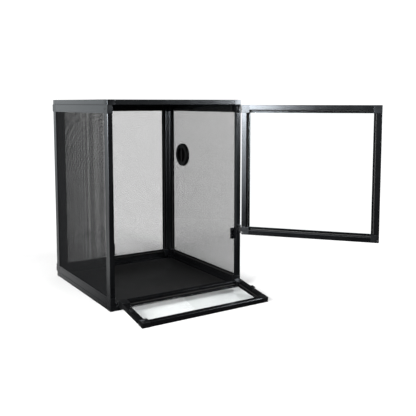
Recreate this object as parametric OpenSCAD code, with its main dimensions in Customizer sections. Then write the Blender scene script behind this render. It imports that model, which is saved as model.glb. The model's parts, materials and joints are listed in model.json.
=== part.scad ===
// Screen cage with a clear upper door that swings to the right and a clear lower door that folds down.
// The origin is at the centre of the underside, +Z is up and the doors face -Y. Sizes are in millimetres.

/* [Cage] */
// Width over the side panels
cage_w = 450; // [400:10:600]
// Depth from the front edges to the back face
cage_d = 450; // [400:10:600]
// Height from the underside to the top of the lid
cage_h = 600; // [560:10:750]

/* [Frame] */
// Side of the square tube along the outer edge of every bar
tube = 15; // [14:0.5:16]
// Width of a bar, tube and shelf together
bar_w = 24; // [23:0.5:26]
// Wall thickness of the tube
wall = 1.5; // [1.2:0.1:2]
// Thickness of the shelf that carries a screen or a pane
shelf_t = 2; // [1.8:0.1:2.5]
// Chamfer along the edges of bars and corner blocks
edge = 0.8; // [0.4:0.1:1.2]

/* [Infill] */
// Thickness of the woven screens
screen_t = 0.6; // [0.4:0.1:1]
// Width of the cord that wedges a screen into its frame
spline_w = 3.5; // [2.5:0.5:5]
// Thickness of the clear door panes
pane_t = 2.5; // [2:0.5:4]
// Thickness of the floor board
floor_t = 6; // [3:1:8]

/* [Doors] */
// Height of the front sill
sill_h = 22; // [20:1:24]
// Height of the lower door
lower_h = 150; // [140:5:200]
// Gap beside each door
side_gap = 1.75; // [1.5:0.25:2.5]
// Gap between the sill and the lower door
sill_gap = 3.5; // [3:0.5:5]
// Gap between the two doors
mid_gap = 4.5; // [4:0.5:6]
// Gap between the upper door and the lid
top_gap = 1; // [1:0.5:2]
// Angle at which the upper door stands open
upper_open = 130; // [0:5:170]
// Height of the far edge of the open lower door above the surface
rest_gap = 0.3; // [0.2:0.1:1]

/* [Hinges] */
// Length of a hinge along its pin
hinge_l = 24; // [24:1:30]
// Distance of a pin from the edge of its door
pin_out = 9.75; // [9:0.25:10]
// Distance of a pin in front of the closed doors
pin_fwd = 8; // [8:0.5:9]
// Diameter of a hinge pin
pin_d = 3; // [2.5:0.25:3.5]

/* [Port] */
// Diameter of the port flange
port_d = 82; // [76:2:90]
// Height of the port centre
port_z = 403; // [300:1:450]
// Distance of the port centre from the back face
port_back = 95; // [80:5:200]

/* [Hidden] */
$fn = 64;

// Colours
bar_black = "#26272a";
plastic_black = "#1c1d1f";
cord_black = "#141415";
mesh_grey = "#4a4c4f";
steel_grey = "#a9abad";
arm_grey = "#2c2d30";
board_grey = "#2d2e30";
pane_clear = [0.88, 0.93, 0.95, 0.35];

// Panels
side_h = cage_h - 2 * tube;
back_w = cage_w - 2 * tube;
door_w = back_w - 2 * side_gap;
lower_z = sill_h + sill_gap;
upper_z = lower_z + lower_h + mid_gap;
upper_h = cage_h - tube - top_gap - upper_z;
front_y = -cage_d / 2;
back_y = cage_d / 2;
post_x = back_w / 2;

// Bar section and corner blocks
groove_w = 0.8;
groove_d = 0.5;
groove_in = 6;
fit = 0.15;
spigot_w = tube - 2 * wall - 2 * fit;
spigot_l = 18;
infill_gap = 0.5;
spline_h = 3;
past = 1;

// Hinges: knuckles around the pin, leaves on the front faces
knuckle_d = 6;
end_knuckle = 6;
knuckle_gap = 0.3;
pin_slip = 0.1;
leaf_t = 2;
leaf_w = 14;
arm_leaf_t = 3;
arm_leaf_w = 20;
arm_back = 3.6;
arm_thick_from = 10.6;
arm_end = 26;
pin_head_d = 4.6;
pin_head_h = 0.8;
pin_y = front_y - pin_fwd;
upper_pin_x = door_w / 2 + pin_out;
lower_pin_z = lower_z - pin_out;
upper_hinge_z = [upper_z, upper_z + upper_h - hinge_l];
lower_hinge_x = [-door_w / 2, door_w / 2 - hinge_l];
upper_leaf_from = -leaf_w / 2;
lower_leaf_from = -6;

// The lower door turns until the outer edge of its front face nears the surface
lower_reach = lower_z + lower_h - lower_pin_z;
lower_open = atan2(pin_fwd, lower_reach)
    + acos((rest_gap - lower_pin_z) / norm([pin_fwd, lower_reach]));

// Screws
shank_d = 3;
shank_slip = 0.1;
small_head = [4.6, 1.2];
large_head = [7.5, 2.5];
leaf_screw_x = -3;
leaf_screw_dz = 2.7;
arm_screw_x = -26.5;
arm_screw_in = 4;
leaf_bite = 8;

// Door stops, magnets and strikes
stop_gap = 0.3;
stop_y = front_y + tube + stop_gap;
stop_d = 8;
mid_stop_out = 8.5;
mid_stop_in = 8.5;
mid_stop_h = 34;
mid_stop_z = 158;
top_stop_out = 8;
top_stop_h = 23;
top_screw_y = front_y + 18;
top_screw_z = cage_h - 26;
magnet_d = 5;
magnet_h = 3;
magnet_x = post_x - 5.1;
magnet_in = 7;
strike_h = 0.8;

// Small blocks half-way along the stiles of the lower door, on its inner face
knob_l = 14;
knob_in = 8;
knob_over = 1;
knob_t = 4.5;
knob_screw_in = 4.25;
knob_screw_l = tube + knob_t - 2 * past;
knob_z = lower_z + lower_h / 2;

// Rear clips
clip_w = 31;
clip_h = bar_w;
clip_t = 9;
clip_screw_dz = 8;
clip_screws_x = [tube / 2, tube + 8];
clip_bite = 10;

// Port
barrel_r = port_d / 2 - 9;
bore_r = barrel_r - 3;
flange_t = 3;
cap_r = port_d / 2 - 1;
cap_t = 5;
cap_slip = 0.05;
pocket_r = bore_r - 3;
ring_t = 1.8;
bar_across = 9;

// Cross-section of a bar. x runs inward from the outer edge, y runs from the outer face.
module bar_profile() {
    difference() {
        polygon([
            [edge, 0], [bar_w, 0], [bar_w, shelf_t], [tube, shelf_t], [tube, tube - edge],
            [tube - edge, tube], [edge, tube], [0, tube - edge], [0, edge]
        ]);
        translate([wall, wall]) square(tube - 2 * wall);
        translate([bar_w - groove_in, -past]) square([groove_w, past + groove_d]);
    }
}

// The four bars of a flat panel that is w by h with its outer face down
module bottom_bar(w) {
    translate([bar_w, 0, 0]) rotate([90, 0, 90]) linear_extrude(w - 2 * bar_w) bar_profile();
}

module top_bar(w, h) {
    translate([0, h, 0]) mirror([0, 1, 0]) bottom_bar(w);
}

module left_bar(h) {
    translate([0, h - bar_w, 0]) rotate([90, 0, 0]) linear_extrude(h - 2 * bar_w) bar_profile();
}

module right_bar(w, h) {
    translate([w, 0, 0]) mirror([1, 0, 0]) left_bar(h);
}

// Square corner block with two spigots that slide into the tubes
module corner_block() {
    linear_extrude(tube) polygon([[edge, 0], [bar_w, 0], [bar_w, bar_w], [0, bar_w], [0, edge]]);
    spigot();
    mirror([1, -1, 0]) spigot();
}

module spigot() {
    inset = wall + fit;
    translate([bar_w - past, inset, inset]) cube([spigot_l + past, spigot_w, spigot_w]);
}

module panel_corners(w, h) {
    for (x = [0, 1], y = [0, 1])
        translate([x * w, y * h, 0]) mirror([x, 0, 0]) mirror([0, y, 0]) corner_block();
}

// Plate that lies on the shelves, notched to clear the corner blocks
module infill(w, h, t) {
    inset = tube + infill_gap;
    notch = bar_w + infill_gap - inset;
    translate([inset, inset, shelf_t]) difference() {
        cube([w - 2 * inset, h - 2 * inset, t]);
        for (x = [0, w - 2 * inset - notch], y = [0, h - 2 * inset - notch])
            translate([x, y, 0]) translate([x > 0 ? 0 : -past, y > 0 ? 0 : -past, -past])
                cube([notch + past, notch + past, t + 2 * past]);
    }
}

// Straight strips that hold an infill of thickness t down along the four tubes
module strips(w, h, t) {
    z = shelf_t + t;
    for (y = [tube, h - tube - spline_w])
        translate([bar_w, y, z]) cube([w - 2 * bar_w, spline_w, spline_h]);
    for (x = [tube, w - tube - spline_w])
        translate([x, bar_w, z]) cube([spline_w, h - 2 * bar_w, spline_h]);
}

// Places of the panels, each drawn flat with its outer face down
module as_left() {
    translate([-cage_w / 2, front_y, tube]) rotate([90, 0, 90]) children();
}

module as_right() {
    mirror([1, 0, 0]) as_left() children();
}

module as_back() {
    translate([-post_x, back_y, tube]) rotate([90, 0, 0]) children();
}

module as_top() {
    translate([-cage_w / 2, front_y, cage_h]) mirror([0, 0, 1]) children();
}

module as_base() {
    translate([-cage_w / 2, front_y, 0]) children();
}

module as_closed_door(z) {
    translate([-door_w / 2, front_y, z]) mirror([0, 1, 0]) rotate([90, 0, 0]) children();
}

// Turns what is drawn with the doors closed to where the open doors stand
module swing_upper() {
    translate([upper_pin_x, pin_y, 0]) rotate(upper_open) translate([-upper_pin_x, -pin_y, 0])
        children();
}

module swing_lower() {
    translate([0, pin_y, lower_pin_z]) rotate([lower_open, 0, 0]) translate([0, -pin_y, -lower_pin_z])
        children();
}

// Places of the hinges. The pin is the local Z axis and the closed door lies towards -x.
module at_upper_hinges() {
    for (z = upper_hinge_z)
        translate([upper_pin_x, pin_y, z]) children();
}

module at_lower_hinges() {
    for (x = lower_hinge_x)
        translate([x, pin_y, lower_pin_z]) rotate([0, 90, 0]) children();
}

module both_sides() {
    children();
    mirror([1, 0, 0]) children();
}

// Screw with its head above z = 0 and its shank below
module screw(head, d, l) {
    cylinder(d = head[0], h = head[1]);
    translate([0, 0, -l]) cylinder(d = d, h = l + head[1] / 2);
}

module screw_hole(d, l) {
    translate([0, 0, -l - past]) cylinder(d = d + shank_slip, h = l + 2 * past);
}

// Spots of the two screws on a fixed leaf and of the two on a moving leaf
module at_leaf_screws() {
    for (side = [-1, 1])
        translate([leaf_screw_x, pin_fwd - leaf_t, hinge_l / 2 + side * leaf_screw_dz])
            rotate([90, 0, 0]) children();
}

module at_arm_screws() {
    for (z = [arm_screw_in, hinge_l - arm_screw_in])
        translate([arm_screw_x, pin_fwd - arm_leaf_t, z]) rotate([90, 0, 0]) children();
}

module leaf_screws() {
    at_leaf_screws() screw(small_head, shank_d, leaf_t + leaf_bite);
}

module leaf_holes() {
    at_leaf_screws() screw_hole(shank_d, leaf_t + leaf_bite);
}

module arm_screws() {
    at_arm_screws() screw(small_head, shank_d, arm_leaf_t + leaf_bite);
}

module arm_holes() {
    at_arm_screws() screw_hole(shank_d, arm_leaf_t + leaf_bite);
}

module pin_bore() {
    translate([0, 0, -past]) cylinder(d = pin_d + pin_slip, h = hinge_l + 2 * past);
}

// Leaf on the frame with a knuckle at each end
module fixed_leaf(from) {
    difference() {
        union() {
            translate([from, pin_fwd - leaf_t, 0]) cube([leaf_w, leaf_t, hinge_l]);
            for (z = [0, hinge_l - end_knuckle]) {
                translate([0, 0, z]) cylinder(d = knuckle_d, h = end_knuckle);
                translate([-knuckle_d / 2, 0, z])
                    cube([knuckle_d, pin_fwd - leaf_t / 2, end_knuckle]);
            }
        }
        pin_bore();
        leaf_holes();
    }
}

// Leaf on the door with an arm and the middle knuckle
module moving_leaf() {
    z = end_knuckle + knuckle_gap;
    l = hinge_l - 2 * z;
    leaf_y = pin_fwd - arm_leaf_t;
    difference() {
        union() {
            translate([-pin_out - past - arm_leaf_w, leaf_y, 0]) cube([arm_leaf_w, arm_leaf_t, hinge_l]);
            translate([0, 0, z]) cylinder(d = knuckle_d, h = l);
            translate([0, 0, z]) linear_extrude(l) polygon([
                [0, -knuckle_d / 2], [0, arm_back], [-arm_thick_from, arm_back],
                [-arm_thick_from, leaf_y + past], [-arm_end, leaf_y + past], [-arm_end, leaf_y],
                [-arm_end / 2, -knuckle_d / 2]
            ]);
        }
        pin_bore();
        arm_holes();
    }
}

module hinge_pin() {
    cylinder(d = pin_d, h = hinge_l);
    for (z = [-pin_head_h, hinge_l])
        translate([0, 0, z]) cylinder(d = pin_head_d, h = pin_head_h);
}

// Screws that enter the frame from outside: door stops and rear clips
module at_top_stop_screws() {
    both_sides() translate([cage_w / 2, top_screw_y, top_screw_z]) rotate([0, 90, 0]) children();
}

module at_mid_stop_screws() {
    both_sides()
        translate([post_x + mid_stop_in / 2, stop_y + stop_d, mid_stop_z + mid_stop_h / 2])
            rotate([-90, 0, 0]) children();
}

module at_clip_screws() {
    for (z = [tube + clip_h / 2, cage_h - tube - clip_h / 2], i = [0, 1])
        both_sides()
            translate([cage_w / 2 - clip_screws_x[i], back_y + clip_t, z + (1 - 2 * i) * clip_screw_dz])
                rotate([-90, 0, 0]) children();
}

module clip_holes() {
    at_clip_screws() screw_hole(shank_d, clip_t + clip_bite);
}

module top_stop_holes() {
    at_top_stop_screws() screw_hole(shank_d, tube + top_stop_out / 2);
}

module mid_stop_holes() {
    at_mid_stop_screws() screw_hole(shank_d, stop_d + 2 * wall);
}

// Discs on the inner faces of the doors, opposite the magnets
module at_magnets(z) {
    both_sides() translate([magnet_x, front_y + tube, z]) rotate([90, 0, 0]) children();
}

module strike_holes(z) {
    at_magnets(z) translate([0, 0, -past]) cylinder(d = magnet_d + shank_slip, h = strike_h + past);
}

module strikes(z) {
    at_magnets(z) cylinder(d = magnet_d, h = strike_h);
}

// Screws that hold the blocks of the lower door
module at_knob_screws() {
    both_sides() translate([door_w / 2 - knob_screw_in, front_y, knob_z]) rotate([90, 0, 0])
        children();
}

module knob_screw_holes() {
    at_knob_screws() screw_hole(shank_d, knob_screw_l);
}

upper_strike_z = upper_z + magnet_in;
lower_strike_z = lower_z + lower_h - magnet_in;

// Left panel
module left_front_stile() {
    color(bar_black) difference() {
        as_left() left_bar(side_h);
        mid_stop_holes();
    }
}

module left_rear_stile() {
    color(bar_black) as_left() right_bar(cage_d, side_h);
}

module left_top_rail() {
    color(bar_black) as_left() top_bar(cage_d, side_h);
}

module left_bottom_rail() {
    color(bar_black) as_left() bottom_bar(cage_d);
}

module left_screen() {
    color(mesh_grey) as_left() infill(cage_d, side_h, screen_t);
}

// Right panel, with the hole for the port
module right_front_stile() {
    color(bar_black) difference() {
        as_right() left_bar(side_h);
        mid_stop_holes();
        at_upper_hinges() leaf_holes();
    }
}

module right_rear_stile() {
    color(bar_black) as_right() right_bar(cage_d, side_h);
}

module right_top_rail() {
    color(bar_black) as_right() top_bar(cage_d, side_h);
}

module right_bottom_rail() {
    color(bar_black) as_right() bottom_bar(cage_d);
}

module as_port() {
    as_right() translate([cage_d - port_back, port_z - tube, 0]) children();
}

module right_screen() {
    color(mesh_grey) difference() {
        as_right() infill(cage_d, side_h, screen_t);
        as_port() cylinder(r = barrel_r + knuckle_gap, h = shelf_t + screen_t + past);
    }
}

module side_corners() {
    color(plastic_black) difference() {
        both_sides() as_left() panel_corners(cage_d, side_h);
        clip_holes();
        top_stop_holes();
        at_upper_hinges() leaf_holes();
    }
}

// Back panel
module back_left_stile() {
    color(bar_black) as_back() left_bar(side_h);
}

module back_right_stile() {
    color(bar_black) as_back() right_bar(back_w, side_h);
}

module back_top_rail() {
    color(bar_black) as_back() top_bar(back_w, side_h);
}

module back_bottom_rail() {
    color(bar_black) as_back() bottom_bar(back_w);
}

module back_screen() {
    color(mesh_grey) as_back() infill(back_w, side_h, screen_t);
}

module back_corners() {
    color(plastic_black) difference() {
        as_back() panel_corners(back_w, side_h);
        clip_holes();
    }
}

// Lid
module top_left_rail() {
    color(bar_black) as_top() left_bar(cage_d);
}

module top_right_rail() {
    color(bar_black) as_top() right_bar(cage_w, cage_d);
}

module top_front_rail() {
    color(bar_black) as_top() bottom_bar(cage_w);
}

module top_rear_rail() {
    color(bar_black) as_top() top_bar(cage_w, cage_d);
}

module top_screen() {
    color(mesh_grey) as_top() infill(cage_w, cage_d, screen_t);
}

module top_corners() {
    color(plastic_black) as_top() panel_corners(cage_w, cage_d);
}

// Base
module base_left_rail() {
    color(bar_black) as_base() left_bar(cage_d);
}

module base_right_rail() {
    color(bar_black) as_base() right_bar(cage_w, cage_d);
}

module base_rear_rail() {
    color(bar_black) as_base() top_bar(cage_w, cage_d);
}

module base_corners() {
    color(plastic_black) as_base() panel_corners(cage_w, cage_d);
}

module sill_profile() {
    difference() {
        polygon([
            [edge, 0], [bar_w, 0], [bar_w, shelf_t], [tube, shelf_t], [tube, sill_h - edge],
            [tube - edge, sill_h], [edge, sill_h], [0, sill_h - edge], [0, edge]
        ]);
        translate([wall, wall]) square([tube - 2 * wall, sill_h - 2 * wall]);
    }
}

// The sill fills the space between the side panels and is notched around the base corner blocks
module front_sill() {
    sill_w = back_w - 2 * infill_gap;
    notch_w = bar_w - (cage_w - sill_w) / 2;
    color(bar_black) difference() {
        translate([-sill_w / 2, front_y, 0]) rotate([90, 0, 90]) linear_extrude(sill_w) sill_profile();
        both_sides() translate([sill_w / 2 - notch_w, front_y - past, -past])
            cube([notch_w + past, bar_w + 2 * past, tube + past]);
        at_lower_hinges() leaf_holes();
    }
}

// The board lies on the shelves of the base, and its middle fills the space between them
module floor_panel() {
    rim = bar_w + infill_gap;
    color(board_grey) as_base() {
        infill(cage_w, cage_d, floor_t);
        translate([rim, rim, 0]) cube([cage_w - 2 * rim, cage_d - 2 * rim, shelf_t + past]);
    }
}

// Cords that hold the four screens
module screen_spline() {
    color(cord_black) {
        both_sides() as_left() strips(cage_d, side_h, screen_t);
        as_back() strips(back_w, side_h, screen_t);
        as_top() strips(cage_w, cage_d, screen_t);
    }
}

// Upper door
module upper_door_hinge_stile() {
    color(bar_black) swing_upper() as_closed_door(upper_z) right_bar(door_w, upper_h);
}

module upper_door_free_stile() {
    color(bar_black) swing_upper() as_closed_door(upper_z) left_bar(upper_h);
}

module upper_door_top_rail() {
    color(bar_black) swing_upper() as_closed_door(upper_z) top_bar(door_w, upper_h);
}

module upper_door_bottom_rail() {
    color(bar_black) swing_upper() as_closed_door(upper_z) bottom_bar(door_w);
}

module upper_door_corners() {
    color(plastic_black) swing_upper() difference() {
        as_closed_door(upper_z) panel_corners(door_w, upper_h);
        strike_holes(upper_strike_z);
        at_upper_hinges() arm_holes();
    }
}

module upper_door_pane() {
    color(pane_clear) swing_upper() as_closed_door(upper_z) infill(door_w, upper_h, pane_t);
}

module upper_door_gasket() {
    color(cord_black) swing_upper() as_closed_door(upper_z) strips(door_w, upper_h, pane_t);
}

module upper_door_strikes() {
    color(steel_grey) swing_upper() strikes(upper_strike_z);
}

module upper_door_screws() {
    color(steel_grey) swing_upper() at_upper_hinges() arm_screws();
}

module upper_hinge_arms() {
    color(arm_grey) swing_upper() at_upper_hinges() moving_leaf();
}

// Lower door
module lower_door_left_stile() {
    color(bar_black) swing_lower() difference() {
        as_closed_door(lower_z) left_bar(lower_h);
        knob_screw_holes();
    }
}

module lower_door_right_stile() {
    color(bar_black) swing_lower() difference() {
        as_closed_door(lower_z) right_bar(door_w, lower_h);
        knob_screw_holes();
    }
}

module lower_door_top_rail() {
    color(bar_black) swing_lower() as_closed_door(lower_z) top_bar(door_w, lower_h);
}

module lower_door_hinge_rail() {
    color(bar_black) swing_lower() as_closed_door(lower_z) bottom_bar(door_w);
}

module lower_door_corners() {
    color(plastic_black) swing_lower() difference() {
        as_closed_door(lower_z) panel_corners(door_w, lower_h);
        strike_holes(lower_strike_z);
        at_lower_hinges() arm_holes();
    }
}

module lower_door_pane() {
    color(pane_clear) swing_lower() as_closed_door(lower_z) infill(door_w, lower_h, pane_t);
}

module lower_door_gasket() {
    color(cord_black) swing_lower() as_closed_door(lower_z) strips(door_w, lower_h, pane_t);
}

module lower_door_strikes() {
    color(steel_grey) swing_lower() strikes(lower_strike_z);
}

module lower_door_screws() {
    color(steel_grey) swing_lower() {
        at_lower_hinges() arm_screws();
        at_knob_screws() screw(small_head, shank_d, knob_screw_l);
    }
}

module lower_hinge_arms() {
    color(arm_grey) swing_lower() at_lower_hinges() moving_leaf();
}

// Blocks near the edges of the inner face, just clear of the posts when the door is closed
module lower_door_knobs() {
    color(plastic_black) swing_lower() both_sides() difference() {
        translate([door_w / 2 - knob_in, front_y + tube, knob_z - knob_l / 2])
            cube([knob_in + knob_over, knob_t, knob_l]);
        knob_screw_holes();
    }
}

// Hinge parts on the frame
module hinge_brackets() {
    color(plastic_black) {
        at_upper_hinges() fixed_leaf(upper_leaf_from);
        at_lower_hinges() fixed_leaf(lower_leaf_from);
    }
}

module hinge_pins() {
    color(steel_grey) {
        at_upper_hinges() hinge_pin();
        at_lower_hinges() hinge_pin();
    }
}

// Blocks inside the front posts that the closed doors rest on
module door_stops() {
    color(plastic_black) both_sides() difference() {
        union() {
            translate([post_x - top_stop_out, stop_y, cage_h - tube - top_stop_h])
                cube([top_stop_out, stop_d, top_stop_h]);
            translate([post_x - mid_stop_out, stop_y, mid_stop_z])
                cube([mid_stop_out + edge, stop_d, mid_stop_h]);
            translate([post_x, stop_y - stop_gap, mid_stop_z])
                cube([mid_stop_in, stop_d + stop_gap, mid_stop_h]);
        }
        top_stop_holes();
        mid_stop_holes();
        magnet_pockets();
    }
}

module magnet_pockets() {
    for (z = [upper_strike_z, lower_strike_z])
        translate([magnet_x, stop_y - past, z]) rotate([-90, 0, 0])
            cylinder(d = magnet_d + shank_slip, h = magnet_h + past);
}

module catch_magnets() {
    color(steel_grey) both_sides()
        for (z = [upper_strike_z, lower_strike_z])
            translate([magnet_x, stop_y, z]) rotate([-90, 0, 0]) cylinder(d = magnet_d, h = magnet_h);
}

// Port in the right screen: a collar inside, a ring outside and a cap that turns in the collar
module port_collar() {
    face = shelf_t + screen_t;
    color(plastic_black) as_port() rotate_extrude() polygon([
        [bore_r, shelf_t - ring_t], [barrel_r, shelf_t - ring_t], [barrel_r, face],
        [port_d / 2, face], [port_d / 2, face + flange_t - edge],
        [port_d / 2 - edge, face + flange_t], [bore_r, face + flange_t]
    ]);
}

module port_ring() {
    color(plastic_black) as_port() translate([0, 0, shelf_t - ring_t]) difference() {
        cylinder(r = port_d / 2 - edge, h = ring_t);
        translate([0, 0, -past]) cylinder(r = barrel_r + cap_slip, h = ring_t + 2 * past);
    }
}

module port_cap() {
    seat = shelf_t + screen_t + flange_t + knuckle_gap;
    plug_r = bore_r - cap_slip;
    floor_z = seat - 2 * edge;
    rim_z = seat + cap_t;
    color(plastic_black) as_port() {
        rotate_extrude() polygon([
            [0, shelf_t - ring_t], [plug_r, shelf_t - ring_t], [plug_r, seat], [cap_r, seat],
            [cap_r, rim_z - edge], [cap_r - edge, rim_z], [pocket_r, rim_z],
            [pocket_r, floor_z], [0, floor_z]
        ]);
        translate([-bar_across / 2, -pocket_r - edge, floor_z - edge])
            cube([bar_across, 2 * (pocket_r + edge), rim_z - floor_z]);
    }
}

// Clips that tie the back panel to the side panels
module rear_clips() {
    color(plastic_black) difference() {
        for (z = [tube, cage_h - tube - clip_h])
            both_sides() translate([cage_w / 2 - edge - clip_w, back_y, z])
                cube([clip_w, clip_t, clip_h]);
        clip_holes();
    }
}

module frame_screws() {
    color(steel_grey) {
        at_upper_hinges() leaf_screws();
        at_lower_hinges() leaf_screws();
        at_top_stop_screws() screw(small_head, shank_d, tube + top_stop_out / 2);
        at_mid_stop_screws() screw(small_head, shank_d, stop_d + 2 * wall);
        at_clip_screws() screw(large_head, shank_d, clip_t + clip_bite);
    }
}

left_front_stile();
left_rear_stile();
left_top_rail();
left_bottom_rail();
left_screen();
right_front_stile();
right_rear_stile();
right_top_rail();
right_bottom_rail();
right_screen();
side_corners();
back_left_stile();
back_right_stile();
back_top_rail();
back_bottom_rail();
back_screen();
back_corners();
top_left_rail();
top_right_rail();
top_front_rail();
top_rear_rail();
top_screen();
top_corners();
base_left_rail();
base_right_rail();
base_rear_rail();
base_corners();
front_sill();
floor_panel();
screen_spline();
upper_door_hinge_stile();
upper_door_free_stile();
upper_door_top_rail();
upper_door_bottom_rail();
upper_door_corners();
upper_door_pane();
upper_door_gasket();
upper_door_strikes();
upper_door_screws();
upper_hinge_arms();
lower_door_left_stile();
lower_door_right_stile();
lower_door_top_rail();
lower_door_hinge_rail();
lower_door_corners();
lower_door_pane();
lower_door_gasket();
lower_door_strikes();
lower_door_screws();
lower_hinge_arms();
lower_door_knobs();
hinge_brackets();
hinge_pins();
door_stops();
catch_magnets();
port_collar();
port_ring();
port_cap();
rear_clips();
frame_screws();
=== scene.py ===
"""Looks of a screen cage with two clear doors: woven screens, glazing, screws, materials and studio."""

import json
import math

import bmesh
import bpy
from mathutils import Matrix, Vector

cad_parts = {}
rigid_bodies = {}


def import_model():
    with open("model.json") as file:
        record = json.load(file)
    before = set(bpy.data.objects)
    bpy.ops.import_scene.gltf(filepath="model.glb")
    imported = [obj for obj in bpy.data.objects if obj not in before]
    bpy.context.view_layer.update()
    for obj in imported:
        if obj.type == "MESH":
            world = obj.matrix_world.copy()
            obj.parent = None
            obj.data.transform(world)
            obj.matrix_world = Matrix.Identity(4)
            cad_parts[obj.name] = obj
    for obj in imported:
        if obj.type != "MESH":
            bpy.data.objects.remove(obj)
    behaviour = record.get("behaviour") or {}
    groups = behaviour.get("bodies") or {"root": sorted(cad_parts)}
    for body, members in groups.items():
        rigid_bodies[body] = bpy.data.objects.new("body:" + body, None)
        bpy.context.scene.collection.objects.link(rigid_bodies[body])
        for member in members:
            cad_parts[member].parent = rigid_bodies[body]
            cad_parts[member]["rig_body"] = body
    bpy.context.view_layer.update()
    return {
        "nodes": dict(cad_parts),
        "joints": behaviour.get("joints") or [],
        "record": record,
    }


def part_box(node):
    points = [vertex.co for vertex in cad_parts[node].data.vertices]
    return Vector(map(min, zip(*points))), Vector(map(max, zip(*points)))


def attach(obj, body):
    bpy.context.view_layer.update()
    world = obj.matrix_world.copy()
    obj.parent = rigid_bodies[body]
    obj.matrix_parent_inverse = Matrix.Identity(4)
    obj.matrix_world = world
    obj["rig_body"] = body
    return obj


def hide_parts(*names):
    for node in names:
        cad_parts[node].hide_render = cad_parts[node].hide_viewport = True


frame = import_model()
NODES = frame["nodes"]
JOINTS = {joint["name"]: joint for joint in frame["joints"]}
SLOTS = {part["node"]: part["material_slot"] for part in frame["record"]["subparts"]}

# A length in metres, or a share, that is too small to matter
TINY = 1e-6

# The stretch of a noise's values that is spread over a range of colour or roughness
NOISE_LOW = 0.3
NOISE_HIGH = 0.7

# The numbers of the axes
Y_AXIS = 1
Z_AXIS = 2

# Woven screens: pitch in metres, wire thickness as a share of it, how far the two layers of wire stand
# from the middle as a share of the thickness, sides of a wire, width of the shelf under a screen's edge,
# and gap round the port
WIRE_PITCH = 0.0026
WIRE_TO_PITCH = 0.31
WIRE_OFFSET = 0.45
WIRE_SIDES = 6
SHELF = 0.009
PORT_GAP = 0.0005

# Rounding of the cords and of the glazing strips, as shares of their sides
CORD_ROUND = 0.42
GASKET_ROUND = 0.28

# Pieces whose sharp edges are broken, with the width of the broken edges in metres
SOFT_NODES = {
    "side_corners": 0.0006, "back_corners": 0.0006, "top_corners": 0.0006, "base_corners": 0.0006,
    "upper_door_corners": 0.0006, "lower_door_corners": 0.0006, "rear_clips": 0.0010,
    "door_stops": 0.0008, "lower_door_knobs": 0.0009, "hinge_brackets": 0.0004,
    "upper_hinge_arms": 0.0005, "lower_hinge_arms": 0.0005, "floor_panel": 0.0008,
}

# Which edges are broken: those that turn by at least SOFT_MIN_TURN_DEG and are longer than SOFT_MIN_LENGTH
# times the width. Faces that turn by less than SOFT_FLAT_DEG are joined first, and turns of more than
# SOFT_SHARP_DEG still look sharp afterwards, so that flat faces look flat
SOFT_FLAT_DEG = 1.0
SOFT_MIN_TURN_DEG = 40.0
SOFT_SHARP_DEG = 20.0
SOFT_MIN_LENGTH = 2.5
SOFT_SEGMENTS = 2

# Turned pieces: segments round the screws, a plain port part and a notched one, and of a rounded edge
SCREW_SEGMENTS = 32
PLAIN_SEGMENTS = 128
NOTCHED_SEGMENTS = 288
ROUND_STEPS = 5

# Port, in metres: the collar's bore and barrel, and the play of what fits them
PORT_BORE_R = 0.0290
PORT_BARREL_R = 0.0320
PORT_SLIP = 0.00005

# Cap of the port, in metres: thickness of its rim and how far that is rounded, the plug's chamfer, the
# pocket's wall, its depth past the rim and how its mouth is eased, and the grips round the rim
CAP_T = 0.0050
CAP_ROUND = 0.0014
CAP_CHAMFER = 0.0006
CAP_POCKET_WALL = 0.0030
CAP_POCKET_PAST_RIM = 0.0016
CAP_MOUTH = 0.0012
CAP_MOUTH_EASE = 0.0004
CAP_GRIPS = 36
CAP_GRIP_DEPTH = 0.0006
CAP_GRIP_POWER = 3

# Finger bar across the cap's pocket: half its width, how far it goes into the wall and into the floor, and
# the roundings of its section as shares of its sides
BAR_HALF = 0.0045
BAR_INTO_WALL = 0.0008
BAR_INTO_FLOOR = 0.0006
BAR_ROUND = (0.22, 0.16)

# Flange of the port's collar, and edge and notches of its outer ring, in metres. A notch is where the
# cosine of its angle is above RING_NOTCH_FROM
FLANGE_T = 0.0030
FLANGE_ROUND = 0.0012
RING_EDGE = 0.0005
RING_NOTCHES = 8
RING_NOTCH_DEPTH = 0.0012
RING_NOTCH_FROM = 0.985

# How the points of a plain CAD screw are told apart by their distance from its axis: those of the head's
# rim lie beyond RIM_SHARE of the head's radius, those of the shank below SHANK_SHARE of it, and those on the
# axis within AXIS_R metres
RIM_SHARE = 0.9
SHANK_SHARE = 0.85
AXIS_R = 0.0005

# Heads of the screws, as shares of the head's radius or height: how high the rim stands, the arms of the
# cross, how deep it is, how much of the dome it leaves and how much it narrows. The shank's tip is a share
# of its radius
DOME_STEPS = 5
RIM_TO_HEAD = 0.35
CROSS_ARM = 0.62
CROSS_HALF = 0.16
CROSS_DEPTH = 0.55
CROSS_MARGIN = 1.12
CROSS_TAPER = 0.7
TIP_TAPER = 0.6

# Camera: place, and angles from the +Y direction and from level
CAMERA_AT = (-0.9139, -1.8176, 0.5914)
CAMERA_RIGHT_DEG = 32.55
CAMERA_DOWN_DEG = 5.89
CAMERA_LENS_MM = 53.87
CAMERA_SHIFT_Y = -0.0993

# Colours of light, and tints of reflections: cool on the black parts, almost none head-on on the panes
WHITE = (1.0, 1.0, 1.0)
ROOM_COLOUR = (0.95, 1.0, 1.02)
COOL = (0.85, 0.92, 1.0)
BLOOMED = (0.008, 0.008, 0.008)

# Radiance of the room: as seen, and as it lights from behind and from the front
ROOM_SEEN = 1.17
ROOM_BACK = 1.15
ROOM_FRONT = 0.04

# The bright band behind the cage, by the Y and the Z of a direction of length 1: where it sets in along Y,
# where it ends above, and where it grows below from BAND_FOOT to full
BAND_Y = (-0.10, 0.45)
BAND_TOP = (0.14, 0.36)
BAND_RISE = (-0.14, 0.02)
BAND_FOOT = 0.6

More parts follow.
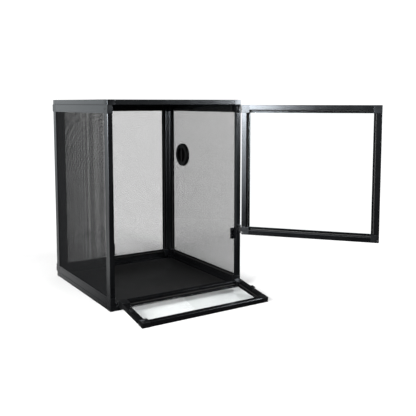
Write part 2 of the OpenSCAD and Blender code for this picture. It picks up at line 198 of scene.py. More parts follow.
# Whiteness of the floor: as seen, with painted light that makes its right side paler and washes out the
# cage's shadow there, and as it lights and is mirrored from behind and, with painted shade, from the front.
# Its slow patches add or take FLOOR_PATCHES
FLOOR_SEEN = 0.55
FLOOR_PAINTED_LIGHT_RIGHT = 0.74
FLOOR_BEHIND = 0.34
FLOOR_PAINTED_SHADE_FRONT = 0.025
FLOOR_PATCHES = 0.01

# The floor's disc: place, just under the cage, radius and sides. Measured from its middle in metres: the
# radii between which it fades into the room, the X where the painted light on its right side sets in, and the
# Y of its change from painted shade in front to the light from behind
FLOOR_AT = (0.1, 0.1, -0.0002)
FLOOR_R = 2.2
FLOOR_SIDES = 96
FLOOR_FADE = (0.3, 1.0)
FLOOR_PAINTED_LIGHT_X = (0.12, 0.30)
FLOOR_PAINTED_SHADE_Y = (-0.45, 0.25)

# The light of the floor where it has faded into the room: the Y of its change, and its share behind the
# cage of the room's light
FAR_BEHIND_Y = (-0.45, 0.35)
FAR_SHARE = 0.6

# Soft boxes: name, place, target, width, height and radiance
SOFT_BOXES = [
    ("box_above", (0.0, 0.3, 2.6), (0.0, 0.1, 0.0), 2.2, 2.2, 3.0),
    ("box_left", (-2.165, -0.95, 1.13), (0.25, -0.3, 1.13), 1.25, 1.3, 44.0),
    ("box_left_low", (-2.165, -0.95, 0.25), (0.25, -0.3, 0.25), 1.25, 0.46, 6.0),
    ("box_right", (2.104, -1.865, 1.25), (0.217, -0.225, 1.25), 1.05, 1.4, 36.0),
]


# ---------------------------------------------------------------- mesh tools


def joint_turn(name):
    """The matrix that takes a closed door to its rest pose. A door is closed at the low end of its range."""
    joint = JOINTS[name]
    pin = Vector(joint["pos_m"])
    angle = -math.radians(joint["range_deg"][0])
    turn = Matrix.Rotation(angle, 4, Vector(joint["axis"]))
    return Matrix.Translation(pin) @ turn @ Matrix.Translation(-pin)


STILL = Matrix.Identity(4)
UPPER_TURN = joint_turn("upper_door_hinge")
LOWER_TURN = joint_turn("lower_door_hinge")


def turn_of(node):
    """How a node was turned from the closed doors' frame to where it rests."""
    body = NODES[node]["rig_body"]
    return {"upper_door": UPPER_TURN, "lower_door": LOWER_TURN}.get(body, STILL)


def loose_parts(node):
    """The separate solids of a node, each as a list of its points in the closed doors' frame."""
    bm = bmesh.new()
    bm.from_mesh(NODES[node].data)
    bmesh.ops.remove_doubles(bm, verts=bm.verts, dist=TINY)
    bm.transform(turn_of(node).inverted())
    parts = []
    seen = set()
    for first in bm.verts:
        if first in seen:
            continue
        seen.add(first)
        waiting = [first]
        points = []
        while waiting:
            vert = waiting.pop()
            points.append(vert.co.copy())
            for edge in vert.link_edges:
                other = edge.other_vert(vert)
                if other not in seen:
                    seen.add(other)
                    waiting.append(other)
        parts.append(points)
    bm.free()
    return parts


def corners_of(points):
    """The lowest and the highest corner of a list of points."""
    low = Vector([min(p[i] for p in points) for i in range(3)])
    high = Vector([max(p[i] for p in points) for i in range(3)])
    return low, high


def finish_piece(name, bm, node, smooth_deg=35.0):
    """Makes the object that stands for a CAD node, turned to the node's rest pose and riding on its body."""
    bm.transform(turn_of(node))
    bmesh.ops.recalc_face_normals(bm, faces=bm.faces)
    mesh = bpy.data.meshes.new(name)
    bm.to_mesh(mesh)
    bm.free()
    mesh.shade_smooth()
    mesh.set_sharp_from_angle(angle=math.radians(smooth_deg))
    piece = bpy.data.objects.new(name, mesh)
    bpy.context.scene.collection.objects.link(piece)
    piece.data.materials.append(MATERIALS[SLOTS[node]])
    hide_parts(node)
    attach(piece, NODES[node]["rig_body"])
    return piece


def add_prism(bm, low, high, axis, ring):
    """Closed prism along an axis between two corners, with ring as its section in shares from 0 to 1."""
    others = [i for i in range(3) if i != axis]
    ends = []
    for end in (low, high):
        verts = []
        for a, b in ring:
            point = [0.0, 0.0, 0.0]
            point[axis] = end[axis]
            point[others[0]] = low[others[0]] + a * (high[others[0]] - low[others[0]])
            point[others[1]] = low[others[1]] + b * (high[others[1]] - low[others[1]])
            verts.append(bm.verts.new(point))
        ends.append(verts)
    count = len(ring)
    for i in range(count):
        j = (i + 1) % count
        bm.faces.new((ends[0][i], ends[0][j], ends[1][j], ends[1][i]))
    bm.faces.new(reversed(ends[0]))
    bm.faces.new(ends[1])


def add_lathe(bm, profile, centre, frame_axes, segments, radius_at=None):
    """Closed shell turned round an axis, from a profile of (radius, height) points.

    A profile starts and ends on the axis, or else is closed into a ring. frame_axes are the two cross
    directions and the axis. radius_at(i, radius, angle) may change the radius of the profile's point i."""
    side, up, axis = frame_axes
    rings = []
    for i, (radius, height) in enumerate(profile):
        if radius == 0.0:
            rings.append([bm.verts.new(centre + axis * height)])
            continue
        ring = []
        for k in range(segments):
            angle = 2 * math.pi * k / segments
            r = radius_at(i, radius, angle) if radius_at else radius
            offset = side * (r * math.cos(angle)) + up * (r * math.sin(angle))
            ring.append(bm.verts.new(centre + offset + axis * height))
        rings.append(ring)
    closed = profile[0][0] != 0.0
    pairs = list(zip(rings, rings[1:])) + ([(rings[-1], rings[0])] if closed else [])
    for a, b in pairs:
        for k in range(segments):
            n = (k + 1) % segments
            if len(a) == 1:
                bm.faces.new((a[0], b[k], b[n]))
            elif len(b) == 1:
                bm.faces.new((a[k], b[0], a[n]))
            else:
                bm.faces.new((a[k], b[k], b[n], a[n]))


# ---------------------------------------------------------------- materials


def new_material(name):
    """A new node material, with its tree and its Principled shader."""
    material = bpy.data.materials.new(name)
    material.use_nodes = True
    tree = material.node_tree
    shader = tree.nodes["Principled BSDF"]
    return material, tree, shader


def place_texture(tree, scale=(1.0, 1.0, 1.0)):
    """Texture places in the piece's own metres, so that the grain keeps its real size."""
    coords = tree.nodes.new("ShaderNodeTexCoord")
    mapping = tree.nodes.new("ShaderNodeMapping")
    mapping.inputs["Scale"].default_value = scale
    tree.links.new(coords.outputs["Object"], mapping.inputs["Vector"])
    return mapping.outputs["Vector"]


def noise(tree, vector, scale, detail=2.0, roughness=0.5):
    """Noise of a scale in grains per metre."""
    node = tree.nodes.new("ShaderNodeTexNoise")
    node.inputs["Scale"].default_value = scale
    node.inputs["Detail"].default_value = detail
    node.inputs["Roughness"].default_value = roughness
    tree.links.new(vector, node.inputs["Vector"])
    return node.outputs["Fac"]


def ramp(tree, factor, low, high, start=NOISE_LOW, end=NOISE_HIGH):
    """Colour ramp between two colours, from start to end of the factor."""
    node = tree.nodes.new("ShaderNodeValToRGB")
    stops = node.color_ramp.elements
    stops[0].position, stops[0].color = start, (*low, 1.0)
    stops[1].position, stops[1].color = end, (*high, 1.0)
    tree.links.new(factor, node.inputs["Fac"])
    return node.outputs["Color"]


def spread(tree, factor, low, high):
    """Maps a factor to a range of roughness."""
    node = tree.nodes.new("ShaderNodeMapRange")
    node.inputs["From Min"].default_value = NOISE_LOW
    node.inputs["From Max"].default_value = NOISE_HIGH
    node.inputs["To Min"].default_value = low
    node.inputs["To Max"].default_value = high
    tree.links.new(factor, node.inputs["Value"])
    return node.outputs["Result"]


def math_node(tree, operation, first, second):
    """A Math node whose two inputs are sockets or plain numbers."""
    node = tree.nodes.new("ShaderNodeMath")
    node.operation = operation
    for socket, value in zip(node.inputs, (first, second)):
        if isinstance(value, float):
            socket.default_value = value
        else:
            tree.links.new(value, socket)
    return node.outputs["Value"]


def fade(tree, value, start, end, low, high):
    """Smooth change from low to high while the value goes from start to end."""
    node = tree.nodes.new("ShaderNodeMapRange")
    node.interpolation_type = "SMOOTHSTEP"
    node.inputs["From Min"].default_value = start
    node.inputs["From Max"].default_value = end
    node.inputs["To Min"].default_value = low
    node.inputs["To Max"].default_value = high
    tree.links.new(value, node.inputs["Value"])
    return node.outputs["Result"]


def seen_by_eye(tree):
    """1 for what the camera sees, through panes too, and 0 for light and reflections."""
    path = tree.nodes.new("ShaderNodeLightPath")
    return math_node(tree, "MAXIMUM", path.outputs["Is Camera Ray"], path.outputs["Is Transmission Ray"])


def choose(tree, switch, when_off, when_on):
    """when_off or when_on, both sockets or plain numbers, by a switch of 0 or 1."""
    node = tree.nodes.new("ShaderNodeMix")
    tree.links.new(switch, node.inputs["Factor"])
    for socket, value in zip((node.inputs["A"], node.inputs["B"]), (when_off, when_on)):
        if isinstance(value, float):
            socket.default_value = value
        else:
            tree.links.new(value, socket)
    return node.outputs["Result"]


def bump(tree, shader, height, strength, distance):
    """Bumps of a height from 0 to 1 over a distance in metres."""
    node = tree.nodes.new("ShaderNodeBump")
    node.inputs["Strength"].default_value = strength
    node.inputs["Distance"].default_value = distance
    tree.links.new(height, node.inputs["Height"])
    tree.links.new(node.outputs["Normal"], shader.inputs["Normal"])


def grained(name, dark, light, rough, grain, height, specular, patches=9.0, tint=WHITE):
    """A surface with slow changes of colour and sheen and a fine bumped grain.

    rough is its range of roughness, grain and patches are counted per metre, height is the grain's depth
    in metres, and tint is the colour of its head-on reflections."""
    material, tree, shader = new_material(name)
    vector = place_texture(tree)
    slow = noise(tree, vector, patches, detail=4.0, roughness=0.6)
    fine = noise(tree, vector, grain)
    tree.links.new(ramp(tree, slow, dark, light), shader.inputs["Base Color"])
    tree.links.new(spread(tree, slow, *rough), shader.inputs["Roughness"])
    bump(tree, shader, fine, strength=0.35, distance=height)
    shader.inputs["Specular IOR Level"].default_value = specular
    shader.inputs["Specular Tint"].default_value = (*tint, 1.0)
    return material


def bar_paint():
    """Satin black powder coat with a slight orange peel."""
    return grained(
        "bar_paint", (0.0011, 0.0011, 0.0013), (0.0019, 0.0020, 0.0022),
        rough=(0.17, 0.23), grain=1400.0, height=0.00005, specular=0.5, tint=COOL,
    )


def black_plastic():
    """Moulded nylon with a fine spark texture, duller than the bars."""
    return grained(
        "black_plastic", (0.0011, 0.0011, 0.0012), (0.0019, 0.0019, 0.0021),
        rough=(0.25, 0.33), grain=2600.0, height=0.00005, specular=0.5, patches=30.0, tint=COOL,
    )


def port_plastic():
    """Fine matt moulding, hardly shiny, so that the port reads as a dark disc."""
    return grained(
        "port_plastic", (0.0007, 0.0007, 0.0008), (0.0013, 0.0013, 0.0014),
        rough=(0.30, 0.40), grain=1900.0, height=0.00004, specular=0.10, patches=40.0,
    )


def woven_screen():
    """Black coated wire, a little lighter where the coat is rubbed."""
    return grained(
        "woven_screen", (0.0030, 0.0031, 0.0034), (0.0055, 0.0057, 0.0062),
        rough=(0.45, 0.58), grain=3000.0, height=0.00003, specular=0.06, patches=60.0,
    )


def spline_cord():
    """Matt foam cord."""
    return grained(
        "spline_cord", (0.0014, 0.0014, 0.0014), (0.0024, 0.0024, 0.0024),
        rough=(0.62, 0.75), grain=900.0, height=0.00010, specular=0.3, patches=50.0,
    )


def door_gasket():
    """Matt glazing strip, a little smoother than the cord."""
    return grained(
        "door_gasket", (0.0012, 0.0012, 0.0013), (0.0020, 0.0020, 0.0021),
        rough=(0.50, 0.62), grain=1200.0, height=0.00006, specular=0.35, patches=50.0,
    )


def floor_board():
    """Matt board with a leathery grain and a few lighter scuffs."""
    material, tree, shader = new_material("floor_board")
    vector = place_texture(tree)
    slow = noise(tree, vector, 5.0, detail=5.0, roughness=0.6)
    long_marks = place_texture(tree, (14.0, 90.0, 14.0))
    scuffs = noise(tree, long_marks, 2.0, detail=6.0, roughness=0.7)
    worn = math_node(tree, "ADD", math_node(tree, "MULTIPLY", scuffs, 0.35), slow)
    colour = ramp(tree, worn, (0.0026, 0.0026, 0.0028), (0.0045, 0.0045, 0.0047), start=0.4, end=0.9)
    tree.links.new(colour, shader.inputs["Base Color"])
    tree.links.new(spread(tree, slow, low=0.48, high=0.60), shader.inputs["Roughness"])
    cells = tree.nodes.new("ShaderNodeTexVoronoi")
    cells.inputs["Scale"].default_value = 700.0
    tree.links.new(vector, cells.inputs["Vector"])
    bump(tree, shader, cells.outputs["Distance"], strength=0.3, distance=0.0001)
    shader.inputs["Specular IOR Level"].default_value = 0.3
    return material


def clear_pane():
    """Polished acrylic: clear, with a very faint haze of fine wipe marks in its roughness.

    Rays that come from a surface, and those that look for a light, pass straight through it."""
    material, tree, shader = new_material("clear_pane")
    vector = place_texture(tree, (1.0, 1.0, 6.0))
    wipes = noise(tree, vector, 14.0, detail=6.0, roughness=0.65)
    tree.links.new(spread(tree, wipes, low=0.0, high=0.035), shader.inputs["Roughness"])
    tree.links.new(
        ramp(tree, wipes, (0.900, 0.922, 0.922), (0.920, 0.940, 0.938)), shader.inputs["Base Color"]
    )
    shader.inputs["Transmission Weight"].default_value = 1.0
    shader.inputs["IOR"].default_value = 1.49
    shader.inputs["Specular Tint"].default_value = (*BLOOMED, 1.0)
    path = tree.nodes.new("ShaderNodeLightPath")
    mirrored = math_node(
        tree, "SUBTRACT", path.outputs["Is Glossy Ray"], path.outputs["Is Transmission Ray"]
    )
    bounced = math_node(tree, "MAXIMUM", mirrored, path.outputs["Is Diffuse Ray"])
    lets_light_by = math_node(tree, "MAXIMUM", path.outputs["Is Shadow Ray"], bounced)
    clear = tree.nodes.new("ShaderNodeBsdfTransparent")
    clear.inputs["Color"].default_value = (0.92, 0.93, 0.93, 1.0)
    mix = tree.nodes.new("ShaderNodeMixShader")
    tree.links.new(lets_light_by, mix.inputs["Fac"])
    tree.links.new(shader.outputs["BSDF"], mix.inputs[1])
    tree.links.new(clear.outputs["BSDF"], mix.inputs[2])
    tree.links.new(mix.outputs["Shader"], tree.nodes["Material Output"].inputs["Surface"])
    return material


def brushed(name, dark, light, rough, metallic):
    """Metal with fine drawn lines, bare or under a dark finish."""
    material, tree, shader = new_material(name)
    vector = place_texture(tree, (1.0, 1.0, 0.06))
    lines = noise(tree, vector, 2200.0, detail=3.0, roughness=0.6)
    slow = noise(tree, place_texture(tree), 60.0, detail=3.0)
    tree.links.new(ramp(tree, slow, dark, light), shader.inputs["Base Color"])
    tree.links.new(spread(tree, lines, *rough), shader.inputs["Roughness"])
    bump(tree, shader, lines, strength=0.25, distance=0.00003)
    shader.inputs["Metallic"].default_value = metallic
    return material


def hinge_arm():
    """Satin black finish over drawn metal."""
    return brushed(
        "hinge_arm", (0.0015, 0.0015, 0.0016), (0.0030, 0.0030, 0.0032), rough=(0.26, 0.36), metallic=0.0,
    )


def strike_steel():
    """Dull plated steel."""
    return brushed(
        "strike_steel", (0.10, 0.10, 0.105), (0.16, 0.16, 0.165), rough=(0.30, 0.42), metallic=1.0,
    )


def screw_steel():
    """Blackened steel."""
    return brushed(
        "screws", (0.003, 0.003, 0.0033), (0.006, 0.006, 0.0065), rough=(0.28, 0.40), metallic=0.0,
    )


def studio_floor():
    """Pale seamless paper, with slow patches of a little more or less white.

    Far from the cage it turns into the white of the room. As the eye sees it, painted light makes its right
    side paler. For light and reflections it is a darker copy with painted shade in front, where it gives and
    mirrors little light."""
    material, tree, shader = new_material("studio_floor")
    vector = place_texture(tree)
    split = tree.nodes.new("ShaderNodeSeparateXYZ")
    tree.links.new(vector, split.inputs["Vector"])
    length = tree.nodes.new("ShaderNodeVectorMath")
    length.operation = "LENGTH"
    tree.links.new(vector, length.inputs[0])
    eye = seen_by_eye(tree)
    grain = noise(tree, vector, 1.5, detail=3.0)
    paper = fade(tree, grain, NOISE_LOW, NOISE_HIGH, -FLOOR_PATCHES, FLOOR_PATCHES)
    # Painted light: as the eye sees it, the floor right of the cage is made lighter, which washes out the
    # cage's shadow there
    across = fade(tree, split.outputs["X"], *FLOOR_PAINTED_LIGHT_X, FLOOR_SEEN, FLOOR_PAINTED_LIGHT_RIGHT)
    seen = math_node(tree, "ADD", across, paper)
    # Painted shade: for light and reflections the floor is a far darker copy of what the eye sees, darkest in
    # front of the cage
    given = fade(tree, split.outputs["Y"], *FLOOR_PAINTED_SHADE_Y, FLOOR_PAINTED_SHADE_FRONT, FLOOR_BEHIND)
    tree.links.new(choose(tree, eye, given, seen), shader.inputs["Base Color"])
    shader.inputs["Roughness"].default_value = 0.9
    shader.inputs["Specular IOR Level"].default_value = 0.0
    far = tree.nodes.new("ShaderNodeEmission")
    far.inputs["Color"].default_value = (*WHITE, 1.0)
    behind = fade(tree, split.outputs["Y"], *FAR_BEHIND_Y, ROOM_FRONT, ROOM_BACK * FAR_SHARE)
    tree.links.new(choose(tree, eye, behind, ROOM_SEEN), far.inputs["Strength"])
    mix = tree.nodes.new("ShaderNodeMixShader")
    tree.links.new(fade(tree, length.outputs["Value"], *FLOOR_FADE, 0.0, 1.0), mix.inputs["Fac"])
    tree.links.new(shader.outputs["BSDF"], mix.inputs[1])
    tree.links.new(far.outputs["Emission"], mix.inputs[2])
    tree.links.new(mix.outputs["Shader"], tree.nodes["Material Output"].inputs["Surface"])
    material.cycles.emission_sampling = "NONE"
    return material


MATERIALS = {
    "bar_paint": bar_paint(),
    "black_plastic": black_plastic(),
    "port_plastic": port_plastic(),
    "woven_screen": woven_screen(),
    "spline_cord": spline_cord(),
    "door_gasket": door_gasket(),
    "clear_pane": clear_pane(),
    "floor_board": floor_board(),
    "hinge_arm": hinge_arm(),
    "strike_steel": strike_steel(),
    "screws": screw_steel(),
}


def finish_cad_nodes():
    """Gives every CAD node the material of its slot."""
    for node, obj in NODES.items():
        obj.data.materials.clear()
        obj.data.materials.append(MATERIALS[SLOTS[node]])


# ---------------------------------------------------------------- woven screens


def wire_ring():
    """Section of a wire, a small polygon in shares of its width and height."""
    turns = [2 * math.pi * k / WIRE_SIDES for k in range(WIRE_SIDES)]
    return [(0.5 + 0.5 * math.cos(turn), 0.5 + 0.5 * math.sin(turn)) for turn in turns]


def wire_spans(at, start, end, edge_low, edge_high, hole):
    """The stretches of a wire from start to end, clear of the corner blocks and of a round hole.

    at is the wire's place across, between edge_low and edge_high. hole is (across, along, radius) or None."""
    near_edge = min(at - edge_low, edge_high - at) < SHELF
    inset = SHELF if near_edge else 0.0
    start, end = start + inset, end - inset
    if hole and abs(at - hole[0]) < hole[2]:
        half = math.sqrt(hole[2] ** 2 - (at - hole[0]) ** 2)
        return [(start, hole[1] - half), (hole[1] + half, end)]
    return [(start, end)]


def woven_screen_piece(node, hole=None):
    """Wires both ways, one layer on the other.

    hole is (y, z, radius) in a screen that lies along Y and Z, and hole_here is the same seen from a wire,
    (across, along, radius)."""
    low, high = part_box(node)
    size = high - low
    flat = min(range(3), key=lambda i: size[i])
    u, v = [i for i in range(3) if i != flat]
    middle = (low[flat] + high[flat]) / 2
    wire = WIRE_PITCH * WIRE_TO_PITCH
    ring = wire_ring()
    bm = bmesh.new()
    for along, across, side in ((u, v, -1), (v, u, 1)):
        count = round(size[across] / WIRE_PITCH)
        pitch = size[across] / count
        hole_here = (hole[across - Y_AXIS], hole[along - Y_AXIS], hole[2]) if hole else None
        for k in range(count):
            at = low[across] + (k + 0.5) * pitch
            spans = wire_spans(at, low[along], high[along], low[across], high[across], hole_here)
            for start, end in spans:
                a = [0.0] * 3
                b = [0.0] * 3
                centre = middle + side * WIRE_OFFSET * wire
                a[along], b[along] = start, end
                a[across], b[across] = at - wire / 2, at + wire / 2
                a[flat], b[flat] = centre - wire / 2, centre + wire / 2
                add_prism(bm, a, b, along, ring)
    return finish_piece(node + "_wires", bm, node)


def all_screens():
    """The wires of the four screens. The right one has a round hole for the port's barrel."""
    collar_low, collar_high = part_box("port_collar")
    centre = (collar_low + collar_high) / 2
    for node in ("left_screen", "back_screen", "top_screen"):
        woven_screen_piece(node)
    woven_screen_piece("right_screen", (centre.y, centre.z, PORT_BARREL_R + PORT_GAP))


# ---------------------------------------------------------------- strips and blocks


def rounded_ring(radius_a, radius_b, steps=3):
    """Section of a strip, in shares, with its four corners rounded by these shares of its sides."""
    ring = []
    corners = ((1, 1, 0), (0, 1, 90), (0, 0, 180), (1, 0, 270))
    for x, y, start in corners:
        cx = radius_a if x == 0 else 1 - radius_a
        cy = radius_b if y == 0 else 1 - radius_b
        for k in range(steps + 1):
            angle = math.radians(start + 90 * k / steps)
            ring.append((cx + radius_a * math.cos(angle), cy + radius_b * math.sin(angle)))
    return ring


def strips_piece(node, share):
    """The straight cords or glazing strips of a node, with rounded edges."""
    bm = bmesh.new()
    ring = rounded_ring(share, share)
    for points in loose_parts(node):
        low, high = corners_of(points)
        size = high - low
        axis = max(range(3), key=lambda i: size[i])
        add_prism(bm, low, high, axis, ring)
    return finish_piece(node + "_strips", bm, node)


def softened(node, width):
    """A CAD node's own shape with its sharp edges broken, as moulding and deburring leave them."""
    bm = bmesh.new()
    bm.from_mesh(NODES[node].data)
    bm.transform(turn_of(node).inverted())
    bmesh.ops.remove_doubles(bm, verts=bm.verts, dist=TINY)
    bmesh.ops.dissolve_limit(
        bm, angle_limit=math.radians(SOFT_FLAT_DEG), use_dissolve_boundaries=False,
        verts=bm.verts, edges=bm.edges,
    )
    sharp = [
        edge for edge in bm.edges
        if len(edge.link_faces) == 2 and edge.calc_face_angle(0.0) > math.radians(SOFT_MIN_TURN_DEG)
        and edge.calc_length() > SOFT_MIN_LENGTH * width
    ]
    bmesh.ops.bevel(
        bm, geom=sharp, offset=width, offset_type="OFFSET", segments=SOFT_SEGMENTS, profile=0.5,
        affect="EDGES", clamp_overlap=True,
    )
    return finish_piece(node + "_soft", bm, node, SOFT_SHARP_DEG)


# ---------------------------------------------------------------- screws


def cross_radius(angle):
    """Outline of a cross recess, as a share of the head's radius."""
    turn = angle % (math.pi / 2)
    turn = min(turn, math.pi / 2 - turn)
    return min(CROSS_ARM / math.cos(turn), CROSS_HALF / max(math.sin(turn), TINY))


def unit(axis, sign=1.0):
    """The unit vector of an axis, or its opposite."""
    vector = Vector((0.0, 0.0, 0.0))
    vector[axis] = sign
    return vector


def screw_sizes(points):
    """Where the head of a plain CAD screw sits, its direction and cross direction, and its sizes."""
    low, high = corners_of(points)
    size = high - low
    axis = max(range(3), key=lambda i: size[i])
    side = min(i for i in range(3) if i != axis)
    centre = (low + high) / 2
    head_r = size[side] / 2

    def distance(point):
        arm = point - centre
        arm[axis] = 0.0
        return arm.length

    rim = [p[axis] for p in points if distance(p) > RIM_SHARE * head_r]
    shank_r = min(distance(p) for p in points if AXIS_R < distance(p) < SHANK_SHARE * head_r)
    outward = 1.0 if max(rim) > centre[axis] else -1.0
    seat = Vector(centre)
    seat[axis] = min(rim) if outward > 0 else max(rim)
    head_h = max(rim) - min(rim)
    return seat, unit(axis, outward), unit(side), head_r, head_h, shank_r, size[axis] - head_h


def add_screw(bm, points):
    """Domed head with a cross recess, and its plain shank, in the place of a plain CAD screw."""
    seat, direction, side, head_r, head_h, shank_r, shank_l = screw_sizes(points)
    rim = head_h * RIM_TO_HEAD
    inner = CROSS_ARM * CROSS_MARGIN
    floor = head_h * (1 - CROSS_DEPTH)
    tip = shank_r * TIP_TAPER
    profile = [(0.0, -shank_l), (tip, -shank_l), (shank_r, tip - shank_l), (shank_r, 0.0),
               (head_r, 0.0), (head_r, rim)]
    for k in range(1, DOME_STEPS):
        angle = math.pi / 2 * k / DOME_STEPS
        radius = head_r * (inner + (1 - inner) * math.cos(angle))
        profile.append((radius, rim + (head_h - rim) * math.sin(angle)))
    first_cross = len(profile)
    profile += [(head_r, head_h), (head_r, floor), (0.0, floor)]

    def radius_at(i, radius, angle):
        if i == first_cross:
            return head_r * cross_radius(angle)
        if i == first_cross + 1:
            return head_r * cross_radius(angle) * CROSS_TAPER
        return radius

    frame_axes = (side, direction.cross(side), direction)
    add_lathe(bm, profile, seat, frame_axes, SCREW_SEGMENTS, radius_at)


def screws_piece(node):
    """The screws of a node, each in its CAD screw's place."""
    bm = bmesh.new()
    for points in loose_parts(node):
        add_screw(bm, points)
    return finish_piece(node + "_heads", bm, node)


# ---------------------------------------------------------------- port


def port_axes():
    """Side, up and inward directions of the port in the right screen."""
    return Vector((0.0, -1.0, 0.0)), Vector((0.0, 0.0, 1.0)), Vector((-1.0, 0.0, 0.0))


def port_sizes(node):
    """The point on the port's axis at the outer end of a node, the node's depth and its radius."""
    low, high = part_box(node)
    start = Vector((high.x, (low.y + high.y) / 2, (low.z + high.z) / 2))
    return start, high.x - low.x, (high.y - low.y) / 2


def rounded_edge(rim_r, depth, rounding, first=0):
    """Points of a profile from a rim, at step first, round to its inner face."""
    points = []
    for k in range(first, ROUND_STEPS + 1):
        angle = math.pi / 2 * k / ROUND_STEPS
        radius = rim_r - rounding + rounding * math.cos(angle)
        points.append((radius, depth - rounding + rounding * math.sin(angle)))
    return points


def port_cap_piece():
    """Cap with a rounded rim, grip notches round its edge and a finger bar across a round pocket."""
    start, depth, rim_r = port_sizes("port_cap")
    seat = depth - CAP_T
    plug_r = PORT_BORE_R - PORT_SLIP
    pocket_r = PORT_BORE_R - CAP_POCKET_WALL
    floor_at = seat - CAP_POCKET_PAST_RIM
    profile = [(0.0, 0.0), (plug_r - CAP_CHAMFER, 0.0), (plug_r, CAP_CHAMFER), (plug_r, seat), (rim_r, seat)]
    notched = range(len(profile) - 1, len(profile) + 3)
    profile += rounded_edge(rim_r, depth, CAP_ROUND, first=1)
    profile += [
        (pocket_r + CAP_MOUTH, depth), (pocket_r + CAP_MOUTH_EASE, depth - CAP_MOUTH_EASE),
        (pocket_r, depth - CAP_MOUTH), (pocket_r - CAP_MOUTH_EASE, floor_at), (0.0, floor_at),
    ]

    def radius_at(i, radius, angle):
        grip = max(0.0, math.cos(angle * CAP_GRIPS)) ** CAP_GRIP_POWER
        return radius - CAP_GRIP_DEPTH * grip if i in notched else radius

    bm = bmesh.new()
    add_lathe(bm, profile, start, port_axes(), NOTCHED_SEGMENTS, radius_at)
    reach = pocket_r + BAR_INTO_WALL
    low = start + Vector((-depth, -BAR_HALF, -reach))
    high = start + Vector((BAR_INTO_FLOOR - floor_at, BAR_HALF, reach))
    add_prism(bm, low, high, Z_AXIS, rounded_ring(*BAR_ROUND, steps=4))
    return finish_piece("port_cap_turned", bm, "port_cap")


def port_collar_piece():
    """Collar with a rounded flange."""
    start, depth, rim_r = port_sizes("port_collar")
    flange = depth - FLANGE_T
    profile = [(PORT_BORE_R, 0.0), (PORT_BARREL_R, 0.0), (PORT_BARREL_R, flange), (rim_r, flange)]
    profile += rounded_edge(rim_r, depth, FLANGE_ROUND)
    profile.append((PORT_BORE_R, depth))
    bm = bmesh.new()
    add_lathe(bm, profile, start, port_axes(), PLAIN_SEGMENTS)
    return finish_piece("port_collar_turned", bm, "port_collar")


def port_ring_piece():
    """Outer ring with a broken edge and small spanner notches."""
    start, depth, rim_r = port_sizes("port_ring")
    inner_r = PORT_BARREL_R + PORT_SLIP
    profile = [
        (inner_r, RING_EDGE), (inner_r + RING_EDGE, 0.0), (rim_r - RING_EDGE, 0.0), (rim_r, RING_EDGE),
        (rim_r, depth), (inner_r, depth),
    ]
    outer = (2, 3, 4)

    def radius_at(i, radius, angle):
        notch = math.cos(angle * RING_NOTCHES) > RING_NOTCH_FROM
        return radius - RING_NOTCH_DEPTH if notch and i in outer else radius

    bm = bmesh.new()
    add_lathe(bm, profile, start, port_axes(), NOTCHED_SEGMENTS, radius_at)
    return finish_piece("port_ring_turned", bm, "port_ring")


# ---------------------------------------------------------------- studio


def floor_disc():
    """The round floor under the cage."""
    bm = bmesh.new()
    bmesh.ops.create_circle(bm, cap_ends=True, segments=FLOOR_SIDES, radius=FLOOR_R)
    mesh = bpy.data.meshes.new("floor")
    bm.to_mesh(mesh)
    bm.free()
    floor = bpy.data.objects.new("floor", mesh)
    bpy.context.scene.collection.objects.link(floor)
    floor.location = FLOOR_AT
    floor.data.materials.append(studio_floor())


def soft_box(name, at, target, width, height, radiance):
    """A rectangular light of an even radiance, turned to a target. Only its light and reflections show."""
    light = bpy.data.lights.new(name, "AREA")
    light.shape = "RECTANGLE"
    light.size = width
    light.size_y = height
    light.energy = radiance * math.pi * width * height
    lamp = bpy.data.objects.new(name, light)
    lamp.location = at
    direction = Vector(target) - Vector(at)
    lamp.rotation_euler = direction.to_track_quat("-Z", "Y").to_euler()
    lamp.visible_camera = False
    lamp.visible_transmission = False
    bpy.context.scene.collection.objects.link(lamp)


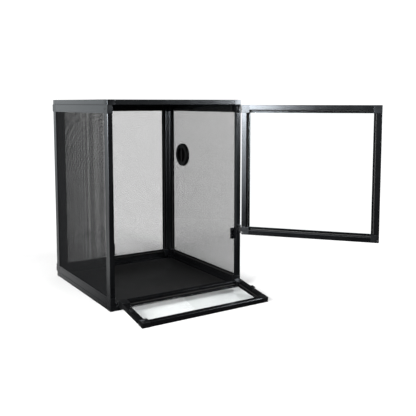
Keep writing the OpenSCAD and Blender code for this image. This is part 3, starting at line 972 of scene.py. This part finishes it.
def room_light():
    """White all round for the eye. The light it gives comes from a low white band behind the cage."""
    world = bpy.data.worlds.new("studio")
    bpy.context.scene.world = world
    world.use_nodes = True
    tree = world.node_tree
    coords = tree.nodes.new("ShaderNodeTexCoord")
    split = tree.nodes.new("ShaderNodeSeparateXYZ")
    tree.links.new(coords.outputs["Generated"], split.inputs["Vector"])
    behind = fade(tree, split.outputs["Y"], *BAND_Y, 0.0, ROOM_BACK - ROOM_FRONT)
    low = fade(tree, split.outputs["Z"], *BAND_TOP, 1.0, 0.0)
    rise = fade(tree, split.outputs["Z"], *BAND_RISE, BAND_FOOT, 1.0)
    band = math_node(tree, "MULTIPLY", behind, math_node(tree, "MULTIPLY", low, rise))
    given = tree.nodes["Background"]
    given.inputs["Color"].default_value = (*ROOM_COLOUR, 1.0)
    tree.links.new(math_node(tree, "ADD", band, ROOM_FRONT), given.inputs["Strength"])
    seen = tree.nodes.new("ShaderNodeBackground")
    seen.inputs["Color"].default_value = (*WHITE, 1.0)
    seen.inputs["Strength"].default_value = ROOM_SEEN
    mix = tree.nodes.new("ShaderNodeMixShader")
    tree.links.new(seen_by_eye(tree), mix.inputs["Fac"])
    tree.links.new(given.outputs["Background"], mix.inputs[1])
    tree.links.new(seen.outputs["Background"], mix.inputs[2])
    tree.links.new(mix.outputs["Shader"], tree.nodes["World Output"].inputs["Surface"])


def studio():
    """A round pale floor, soft boxes left, right and above, and a white room that is dim in front."""
    floor_disc()
    for box in SOFT_BOXES:
        soft_box(*box)
    room_light()


def camera():
    """The camera, from the front left and a little above."""
    data = bpy.data.cameras.new("camera")
    data.lens = CAMERA_LENS_MM
    data.shift_y = CAMERA_SHIFT_Y
    eye = bpy.data.objects.new("camera", data)
    eye.location = CAMERA_AT
    eye.rotation_euler = (math.radians(90 - CAMERA_DOWN_DEG), 0.0, math.radians(-CAMERA_RIGHT_DEG))
    bpy.context.scene.collection.objects.link(eye)
    bpy.context.scene.camera = eye
    bpy.context.scene.view_settings.view_transform = "Standard"


finish_cad_nodes()
all_screens()
strips_piece("screen_spline", CORD_ROUND)
strips_piece("upper_door_gasket", GASKET_ROUND)
strips_piece("lower_door_gasket", GASKET_ROUND)
for soft_node, soft_width in SOFT_NODES.items():
    softened(soft_node, soft_width)
for screw_node in ("frame_screws", "upper_door_screws", "lower_door_screws"):
    screws_piece(screw_node)
port_cap_piece()
port_collar_piece()
port_ring_piece()
studio()
camera()
